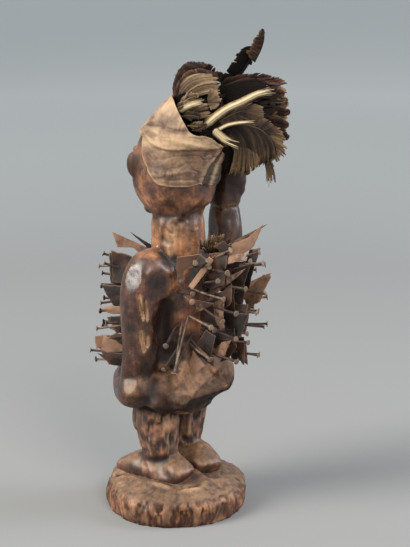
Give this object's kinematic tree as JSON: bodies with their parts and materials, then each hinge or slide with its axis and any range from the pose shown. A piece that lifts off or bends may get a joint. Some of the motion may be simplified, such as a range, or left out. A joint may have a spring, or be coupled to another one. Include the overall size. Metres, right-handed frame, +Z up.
{
  "type": "standing nail power figure",
  "caption": "Carved standing wooden figure on a round base, driven full of iron nails and blades, with a hide cap that holds a bundle of feathers.",
  "frame": {"origin": "middle of the flat underside of the round base", "axes": "+Z up, the figure faces -Y, and its left side is +X"},
  "size_m": [0.2396, 0.25, 0.6643],
  "materials": {
    "carved_wood": "dark handled wood with a waxy sheen, worn to orange brown on edges",
    "hide": "matt, stained raw hide with folds",
    "blade_iron": "rusted hammered sheet iron, matt",
    "nail_iron": "rusted wire and forged nails, matt",
    "dark_feather": "matt feather vanes, black brown",
    "brown_feather": "matt feather vanes, mottled brown",
    "cream_feather": "matt feather vanes, cream"
  },
  "bodies": {
    "root": {"figure": "carved_wood", "hide_cap": "hide", "feather_tall": "dark_feather", "feather_curl": "brown_feather", "feather_top": "dark_feather", "feather_cream_long": "cream_feather", "feather_cream_short": "cream_feather", "feather_grey": "brown_feather", "feather_stripe": "dark_feather", "feather_stub": "cream_feather", "feather_broad": "brown_feather", "feather_low": "brown_feather", "feather_middle": "brown_feather", "feather_far_high": "dark_feather", "feather_far_low": "brown_feather", "blade_back_tan": "blade_iron", "blade_back_strip": "blade_iron", "blade_shoulder_large": "blade_iron", "blade_shoulder_small": "blade_iron", "blade_side_tall": "blade_iron", "blade_side_tan": "blade_iron", "blade_back_wide": "blade_iron", "blade_back_upright": "blade_iron", "blade_back_triangle": "blade_iron", "blade_back_dark": "blade_iron", "blade_side_dark": "blade_iron", "blade_side_edge": "blade_iron", "blade_low_point": "blade_iron", "blade_low_tan": "blade_iron", "blade_low_triangle": "blade_iron", "blade_chest_tan": "blade_iron", "blade_chest_narrow": "blade_iron", "blade_chest_dark": "blade_iron", "blade_chest_triangle": "blade_iron", "blade_belly_pale": "blade_iron", "blade_belly_leaf": "blade_iron", "blade_belly_ragged": "blade_iron", "nail_01": "nail_iron", "nail_02": "nail_iron", "nail_03": "nail_iron", "nail_04": "nail_iron", "nail_05": "nail_iron", "nail_06": "nail_iron", "nail_07": "nail_iron", "nail_08": "nail_iron", "nail_09": "nail_iron", "nail_10": "nail_iron", "nail_11": "nail_iron", "nail_12": "nail_iron", "nail_13": "nail_iron", "nail_14": "nail_iron", "nail_15": "nail_iron", "nail_16": "nail_iron", "nail_17": "nail_iron", "nail_18": "nail_iron", "nail_19": "nail_iron", "nail_20": "nail_iron"}
  },
  "joints": []
}
